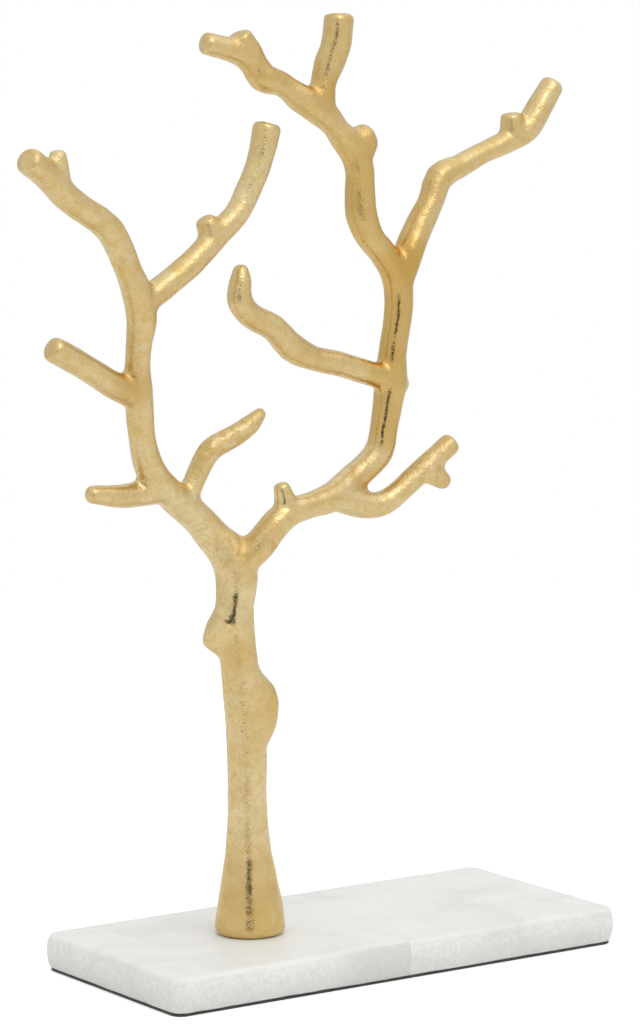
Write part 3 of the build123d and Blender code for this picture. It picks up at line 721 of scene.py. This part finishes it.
class MeshWork:
    """Mesh steps that the tree, the slab and the felt share."""

    def solids(self, nodes: tuple[str, ...]) -> bmesh.types.BMesh:
        """Copy the meshes of some solids into one, with its doubles merged.

        Args:
            nodes: the solids' node names.

        Returns:
            The copy.
        """
        copy = bmesh.new()
        for node in nodes:
            copy.from_mesh(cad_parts[node].data)
        bmesh.ops.remove_doubles(copy, verts=copy.verts, dist=MERGE_DISTANCE)
        return copy

    def even_mesh(self, shape: bmesh.types.BMesh, cell: float) -> bmesh.types.BMesh:
        """Cover a shape, or several that meet, with one even skin.

        Args:
            shape: the shape, which is freed.
            cell: the length of a face's side in metres.

        Returns:
            The skin.
        """
        mesh = bpy.data.meshes.new("even_mesh")
        shape.to_mesh(mesh)
        shape.free()
        holder = bpy.data.objects.new("even_mesh", mesh)
        bpy.context.scene.collection.objects.link(holder)
        remesh = holder.modifiers.new("even", "REMESH")
        remesh.mode = "VOXEL"
        remesh.voxel_size = cell
        evaluated = holder.evaluated_get(bpy.context.evaluated_depsgraph_get())
        skin = bmesh.new()
        skin.from_mesh(evaluated.data)
        bpy.data.objects.remove(holder)
        bpy.data.meshes.remove(mesh)
        return skin

    def relax(self, shape: bmesh.types.BMesh, rounds: int) -> None:
        """Smooth a mesh.

        Args:
            shape: the mesh.
            rounds: how many times it is smoothed.
        """
        axes = {f"use_axis_{axis}": True for axis in "xyz"}
        for _ in range(rounds):
            bmesh.ops.smooth_vert(shape, verts=shape.verts, factor=RELAX_FACTOR, **axes)

    def swell(self, shape: bmesh.types.BMesh, amount: float) -> None:
        """Move every vertex along its normal.

        Args:
            shape: the mesh.
            amount: how far, in metres.
        """
        shape.normal_update()
        for vert in shape.verts:
            vert.co += vert.normal * amount

    def held(self, point: Vector, low: Vector, high: Vector) -> Vector:
        """Hold a point inside a box.

        Args:
            point: the point.
            low: the box's lowest corner.
            high: its highest corner.

        Returns:
            The point, or the nearest one inside.
        """
        return Vector(min(max(at, least), most) for at, least, most in zip(point, low, high))

    def piece(
        self, name: str, shape: bmesh.types.BMesh, material: bpy.types.Material
    ) -> bpy.types.Object:
        """Make a mesh a smooth-shaded piece that rides on the stand.

        Args:
            name: the piece's name.
            shape: its mesh, which is freed.
            material: its finish.

        Returns:
            The piece.
        """
        mesh = bpy.data.meshes.new(name)
        shape.to_mesh(mesh)
        shape.free()
        mesh.polygons.foreach_set("use_smooth", [True] * len(mesh.polygons))
        mesh.materials.append(material)
        made = bpy.data.objects.new(name, mesh)
        bpy.context.scene.collection.objects.link(made)
        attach(made, BODY)
        return made


@dataclass
class GoldTree(MeshWork):
    """The castings: one plated skin over all their joints, cut into a piece for each casting."""

    castings: tuple[str, ...] = (
        "trunk",
        "left_limb",
        "left_crook",
        "left_prong",
        "left_side_twig",
        "left_low_twig",
        "left_inner_twig",
        "right_limb",
        "right_low_branch",
        "right_riser",
        "right_inner_branch",
        "right_high_branch",
        "crown_limb",
        "crown_branch",
        "crown_prong",
    )
    coarse_cell: float = 0.0008
    fine_cell: float = 0.0006
    first_rounds: int = 2
    swollen_rounds: int = 3
    last_rounds: int = 4
    hollow_rounds: int = 40
    border_rounds: int = 6
    crotch_radius: float = 0.0014
    plating: float = 0.00022
    cap_depth: float = 0.0012
    lump_depth: float = 0.0003
    lump_length: float = 0.011
    ripple_depth: float = 0.00007
    ripple_length: float = 0.0034
    knotty_place: Place = (-0.004, 0.0, 0.372)
    knotty_radius: float = 0.085
    knotty_gain: float = 4.0
    dent_place: Place = (-0.0545, -0.0069, 0.1655)
    dent_radius: float = 0.0145
    dent_depth: float = 0.0009

    def skin(self) -> bmesh.types.BMesh:
        """Cover the castings with one skin whose crotches are rounded out.

        Returns:
            The skin.
        """
        whole = self.even_mesh(self.solids(self.castings), self.coarse_cell)
        self.relax(whole, self.first_rounds)
        self.swell(whole, self.crotch_radius)
        whole = self.even_mesh(whole, self.coarse_cell)
        self.relax(whole, self.swollen_rounds)
        self.swell(whole, -self.crotch_radius)
        whole = self.even_mesh(whole, self.fine_cell)
        self.relax(whole, self.last_rounds)
        self.swell(whole, self.plating)
        return whole

    def weather(self, shape: bmesh.types.BMesh) -> None:
        """Give a skin the lumps and ripples of a sand casting and the dent in the trunk's neck.

        The lumps are deeper at the crown.

        Args:
            shape: the skin.
        """
        low, high = CAD_BOX
        low = Vector((low[0], low[1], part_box("marble_slab")[1].z))
        shape.normal_update()
        for vert in shape.verts:
            knotty = self.nearness(vert.co, self.knotty_place, self.knotty_radius)
            knots = 1.0 + self.knotty_gain * knotty
            lump = noise.noise(vert.co / self.lump_length) * self.lump_depth * knots
            ripple = noise.noise(vert.co / self.ripple_length) * self.ripple_depth
            dent = self.nearness(vert.co, self.dent_place, self.dent_radius) * self.dent_depth
            vert.co = self.held(vert.co + vert.normal * (lump + ripple - dent), low, high)

    def nearness(self, point: Vector, place: Place, radius: float) -> float:
        """Rate how near a point lies to a place.

        Args:
            point: the point.
            place: the place.
            radius: how far the place reaches, in metres.

        Returns:
            1 at the place, falling smoothly to 0 at the radius.
        """
        near = max(0.0, 1.0 - (point - Vector(place)).length / radius)
        return near * near * (3.0 - 2.0 * near)

    def measure(self, shape: bmesh.types.BMesh) -> None:
        """Note each vertex's normal, and how far it lies in a hollow, in millimetres.

        Args:
            shape: the skin.
        """
        direction = shape.verts.layers.float_vector.new(SKIN_NORMAL)
        hollow = shape.verts.layers.float.new(HOLLOW)
        shape.normal_update()
        even = shape.copy()
        self.relax(even, self.hollow_rounds)
        for vert, other in zip(shape.verts, even.verts):
            vert[direction] = vert.normal
            vert[hollow] = (other.co - vert.co).dot(vert.normal) * MILLIMETRES
        even.free()

    def owners(self, shape: bmesh.types.BMesh) -> list[int]:
        """Find the casting that each face of the skin covers.

        Args:
            shape: the skin.

        Returns:
            For each face the number of its casting.
        """
        points: list[Vector] = []
        faces: list[list[int]] = []
        face_owner: list[int] = []
        for number, node in enumerate(self.castings):
            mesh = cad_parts[node].data
            first = len(points)
            points.extend(vert.co.copy() for vert in mesh.vertices)
            faces.extend([first + index for index in face.vertices] for face in mesh.polygons)
            face_owner.extend([number] * len(mesh.polygons))
        tree = BVHTree.FromPolygons(points, faces)
        nearest = (tree.find_nearest(face.calc_center_median()) for face in shape.faces)
        return self.settle(shape, [face_owner[index] for _, _, index, _ in nearest])

    def settle(self, shape: bmesh.types.BMesh, found: list[int]) -> list[int]:
        """Even out the borders between castings.

        Args:
            shape: the skin.
            found: the casting of each face.

        Returns:
            The casting of each face, where a face sides with most of its neighbours.
        """
        shape.faces.index_update()
        beside = [
            [other.index for edge in face.edges for other in edge.link_faces]
            for face in shape.faces
        ]
        for _ in range(self.border_rounds):
            votes = [[found[index] for index in near] for near in beside]
            found = [max(sorted(set(vote)), key=vote.count) for vote in votes]
        return found

    def build(self, material: bpy.types.Material) -> None:
        """Build the pieces and let each stand for its casting.

        Args:
            material: the gold finish.
        """
        skin = self.skin()
        self.weather(skin)
        self.measure(skin)
        skin.faces.ensure_lookup_table()
        owner = self.owners(skin)
        number = skin.faces.layers.int.new(CASTING)
        for face, value in zip(skin.faces, owner):
            face[number] = value
        for value, node in enumerate(self.castings):
            self.cut_out(skin, value, node, material)
        skin.free()

    def cut_out(
        self, skin: bmesh.types.BMesh, value: int, node: str, material: bpy.types.Material
    ) -> None:
        """Cut one casting's piece out of the skin.

        Args:
            skin: the whole skin.
            value: the casting's number.
            node: its node name.
            material: the gold finish.
        """
        part = skin.copy()
        number = part.faces.layers.int[CASTING]
        others = [face for face in part.faces if face[number] != value]
        bmesh.ops.delete(part, geom=others, context="FACES")
        self.close(part)
        left_open = sum(not edge.is_manifold for edge in part.edges)
        made = self.piece(f"{node}_casting", part, material)
        values = made.data.attributes
        normals = [Vector(item.vector) for item in values[SKIN_NORMAL].data]
        made.data.normals_split_custom_set_from_vertices(normals)
        for name in (SKIN_NORMAL, CASTING):
            values.remove(values[name])
        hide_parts(node)
        LOG.info("%s: %d faces, %d open edges", made.name, len(made.data.polygons), left_open)

    def close(self, part: bmesh.types.BMesh) -> None:
        """Close a casting where it meets the next, with walls that turn straight inwards.

        Args:
            part: the casting's open mesh.
        """
        direction = part.verts.layers.float_vector[SKIN_NORMAL]
        rims = [edge for edge in part.edges if edge.is_boundary]
        made = bmesh.ops.extrude_edge_only(part, edges=rims)["geom"]
        inner = {item for item in made if isinstance(item, bmesh.types.BMVert)}
        for vert in inner:
            beside = (edge.other_vert(vert) for edge in vert.link_edges)
            outer = next(other for other in beside if other not in inner)
            vert[direction] = outer[direction]
            vert.co = outer.co - outer[direction] * self.cap_depth
        rims = [edge for edge in part.edges if edge.is_boundary]
        bmesh.ops.holes_fill(part, edges=rims, sides=0)
        bmesh.ops.recalc_face_normals(part, faces=part.faces)


@dataclass
class MarbleBase(MeshWork):
    """The slab, hand-ground so that its faces and edges are not quite true."""

    cell: float = 0.0013
    rounds: int = 3
    wave_depth: float = 0.00016
    wave_length: float = 0.03
    edge_depth: float = 0.0003
    edge_length: float = 0.008

    def build(self, material: bpy.types.Material) -> None:
        """Build the slab's piece.

        Args:
            material: the marble finish.
        """
        low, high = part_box("marble_slab")
        slab = self.even_mesh(self.solids(("marble_slab",)), self.cell)
        self.relax(slab, self.rounds)
        slab.normal_update()
        side = slab.verts.layers.float.new(SIDE)
        for vert in slab.verts:
            at = vert.co
            vert[side] = 1.0 - abs(vert.normal.z)
            inset = min(at.x - low.x, high.x - at.x, at.y - low.y, high.y - at.y)
            near_edge = max(0.0, 1.0 - inset / self.edge_length)
            wave = noise.noise(at / self.wave_length) * self.wave_depth
            chip = abs(noise.noise(at / self.edge_length)) * self.edge_depth * near_edge
            vert.co = self.held(at + vert.normal * (wave - chip), low, high)
        made = self.piece("ground_slab", slab, material)
        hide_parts("marble_slab")
        LOG.info("%s: %d faces", made.name, len(made.data.polygons))


@dataclass
class FeltPad(MeshWork):
    """The felt under the slab, cut by hand along its edge."""

    corner: float = 0.0051
    corner_steps: int = 8
    rim: float = 0.0003
    rim_steps: int = 2
    round_profile: float = 0.5
    level: float = 0.5
    long_edge: float = 0.016
    cuts: int = 56
    fray: float = 0.0002
    fray_length: float = 0.004
    most_corners: int = 4

    def build(self, material: bpy.types.Material) -> None:
        """Build the felt's piece.

        Args:
            material: the felt finish.
        """
        low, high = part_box("base_pad")
        felt = self.blank(low, high)
        long_edges = [edge for edge in felt.edges if edge.calc_length() > self.long_edge]
        bmesh.ops.subdivide_edges(felt, edges=long_edges, cuts=self.cuts, use_grid_fill=True)
        felt.normal_update()
        for vert in felt.verts:
            shift = (noise.noise(vert.co / self.fray_length) - 1.0) * self.fray
            vert.co.x += vert.normal.x * shift
            vert.co.y += vert.normal.y * shift
        large = [face for face in felt.faces if len(face.verts) > self.most_corners]
        bmesh.ops.triangulate(felt, faces=large)
        made = self.piece("felt_pad", felt, material)
        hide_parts("base_pad")
        LOG.info("%s: %d faces", made.name, len(made.data.polygons))

    def blank(self, low: Vector, high: Vector) -> bmesh.types.BMesh:
        """Make the plain sheet with rounded corners and rims.

        Args:
            low: the sheet's lowest corner.
            high: its highest corner.

        Returns:
            The sheet.
        """
        size = high - low
        felt = bmesh.new()
        bmesh.ops.create_cube(felt, size=1.0)
        bmesh.ops.scale(felt, vec=size, verts=felt.verts)
        bmesh.ops.translate(felt, vec=(low + high) / 2, verts=felt.verts)
        rises = ((edge, edge.verts[0].co.z - edge.verts[1].co.z) for edge in felt.edges)
        upright = [edge for edge, rise in rises if abs(rise) > size.z / 2]
        self.ease(felt, upright, self.corner, self.corner_steps)
        flat = [face for face in felt.faces if abs(face.normal.z) > self.level]
        edges = list({edge for face in flat for edge in face.edges})
        self.ease(felt, edges, self.rim, self.rim_steps)
        return felt

    def ease(
        self, felt: bmesh.types.BMesh, edges: list[bmesh.types.BMEdge], width: float, steps: int
    ) -> None:
        """Round some edges.

        Args:
            felt: the felt's mesh.
            edges: the edges.
            width: the rounding's width in metres.
            steps: how many faces it has across.
        """
        bmesh.ops.bevel(
            felt,
            geom=edges,
            offset=width,
            segments=steps,
            profile=self.round_profile,
            affect="EDGES",
            material=-1,
        )


@dataclass
class Fixing:
    """The hidden bolt and washers, which keep their solids."""

    nodes: tuple[str, ...] = ("fixing_bolt", "lock_washer", "flat_washer")

    def build(self, material: bpy.types.Material) -> None:
        """Give the solids their finish.

        Args:
            material: the zinc finish.
        """
        for node in self.nodes:
            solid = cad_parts[node]
            solid.data.materials.clear()
            solid.data.materials.append(material)
            LOG.info("%s: finished in %s", node, material.name)


@dataclass
class Studio:
    """A white studio whose front wall is brightest, with a dark gap where the camera stands."""

    eye: Vector = field(default_factory=lambda: Vector((-1.05537, -1.49801, 0.44602)))
    gaze: Vector = field(default_factory=lambda: Vector((0.5680, 0.8118, -0.1355)))
    lens: float = 150.9
    sensor: float = 36.0
    table_radius: float = 1.05
    table_sides: int = 96
    front_wall: float = 0.96
    back_wall: float = 0.86
    wall_reach: Span = (-0.45, 0.45)
    left_share: float = 0.83
    right_share: float = 0.88
    side_reach: Span = (-0.6, 0.6)
    left_ceiling: float = 0.14
    right_ceiling: float = 0.42
    ceiling_reach: Span = (-0.5, 0.3)
    ceiling_levels: Span = (0.3, 0.8)
    gap_light: float = 0.03
    gap_sides: Span = (0.13, 0.2)
    gap_depths: Span = (0.6, 0.8)
    gap_foot: float = -0.13
    gap_top: float = 0.16
    gap_fade: float = 0.06
    key_power: float = 2.2
    key_size: float = 1.0
    key_distance: float = 1.6
    key_aim: Vector = field(default_factory=lambda: Vector((-0.02, 0.0, 0.25)))
    key_back: float = 0.6
    key_right: float = 0.4
    key_up: float = 0.68

    def build(self, material: bpy.types.Material) -> None:
        """Build the camera, the table, the walls and the key light.

        Args:
            material: the table's finish.
        """
        self.camera()
        self.table(material)
        self.walls()
        self.key_light()
        bpy.context.scene.view_settings.view_transform = "Standard"

    def right(self) -> Vector:
        """Give the level direction to the camera's right."""
        return Vector((self.gaze.y, -self.gaze.x, 0.0)).normalized()

    def towards(self) -> Vector:
        """Give the level direction to the camera."""
        return Vector((-self.gaze.x, -self.gaze.y, 0.0)).normalized()

    def camera(self) -> None:
        """Place the camera."""
        data = bpy.data.cameras.new("camera")
        data.lens = self.lens
        data.sensor_width = self.sensor
        camera = bpy.data.objects.new("camera", data)
        camera.location = self.eye
        camera.rotation_mode = "QUATERNION"
        camera.rotation_quaternion = self.gaze.to_track_quat("-Z", "Y")
        bpy.context.scene.collection.objects.link(camera)
        bpy.context.scene.camera = camera

    def table(self, material: bpy.types.Material) -> None:
        """Lay the pale round table top that the stand is on.

        Args:
            material: its finish.
        """
        shape = bmesh.new()
        bmesh.ops.create_circle(
            shape, cap_ends=True, segments=self.table_sides, radius=self.table_radius
        )
        mesh = bpy.data.meshes.new("table_top")
        shape.to_mesh(mesh)
        shape.free()
        mesh.materials.append(material)
        top = bpy.data.objects.new("table_top", mesh)
        bpy.context.scene.collection.objects.link(top)

    def walls(self) -> None:
        """Light the studio from its walls."""
        world = bpy.data.worlds.new("studio_walls")
        bpy.context.scene.world = world
        world.use_nodes = True
        board = NodeBoard(world.node_tree)
        lamp = world.node_tree.nodes["Background"]
        ray = board.add("ShaderNodeTexCoord").outputs["Generated"]
        across = self.share_of(board, ray, self.right())
        ahead = self.share_of(board, ray, self.towards())
        upward = self.share_of(board, ray, UP)
        front = board.remap(ahead, self.wall_reach, (self.back_wall, self.front_wall))
        side = board.remap(across, self.side_reach, (self.left_share, self.right_share))
        high = board.remap(upward, self.ceiling_levels, UNIT)
        gain = board.remap(across, self.ceiling_reach, (self.left_ceiling, self.right_ceiling))
        ceiling = board.join("ADD", board.times(high, gain), 1.0)
        clear = self.outside_gap(board, across, ahead, upward)
        level = board.remap(clear, UNIT, (self.gap_light, 1.0))
        light = board.times(board.times(front, side), board.times(ceiling, level))
        board.wire(board.larger(light, board.seen()), lamp.inputs["Strength"])
        board.wire(WHITE, lamp.inputs["Color"])

    def outside_gap(
        self, board: NodeBoard, across: Socket, ahead: Socket, upward: Socket
    ) -> Socket:
        """Mask the walls outside the dark gap.

        Args:
            board: the world's board.
            across: how far a ray points to the right.
            ahead: how far it points towards the camera.
            upward: how far it points up.

        Returns:
            The mask's socket.
        """
        beside = board.remap(board.join("ABSOLUTE", across), self.gap_sides, UNIT)
        above = board.remap(upward, (self.gap_top, self.gap_top + self.gap_fade), UNIT)
        below = board.remap(upward, (self.gap_foot - self.gap_fade, self.gap_foot), (1.0, 0.0))
        behind = board.remap(ahead, self.gap_depths, (1.0, 0.0))
        return board.larger(board.larger(beside, behind), board.larger(above, below))

    def share_of(self, board: NodeBoard, ray: Socket, axis: Vector) -> Socket:
        """Measure how far a ray points along an axis.

        Args:
            board: the world's board.
            ray: the ray's socket.
            axis: the axis.

        Returns:
            The measure's socket, from -1 to 1.
        """
        node = board.add("ShaderNodeVectorMath", operation="DOT_PRODUCT")
        board.wire(ray, node.inputs[0])
        board.wire(axis, node.inputs[1])
        return node.outputs["Value"]

    def key_light(self) -> None:
        """Hang a weak round key light high above the camera, a little to its right."""
        back = -self.gaze * self.key_back
        direction = (back + self.right() * self.key_right + UP * self.key_up).normalized()
        data = bpy.data.lights.new("key_light", "AREA")
        data.shape = "DISK"
        data.size = self.key_size
        data.energy = self.key_power
        lamp = bpy.data.objects.new("key_light", data)
        lamp.location = self.key_aim + direction * self.key_distance
        lamp.rotation_mode = "QUATERNION"
        lamp.rotation_quaternion = (-direction).to_track_quat("-Z", "Y")
        bpy.context.scene.collection.objects.link(lamp)


def main() -> None:
    """Build the stand and its studio."""
    logging.basicConfig(level=logging.INFO, format="%(name)s %(message)s")
    SharedGroups().build()
    GoldTree().build(GoldFinish().material())
    MarbleBase().build(MarbleFinish().material())
    FeltPad().build(FeltFinish().material())
    Fixing().build(ZincFinish().material())
    Studio().build(TableFinish().material())


if __name__ == "__main__":
    main()
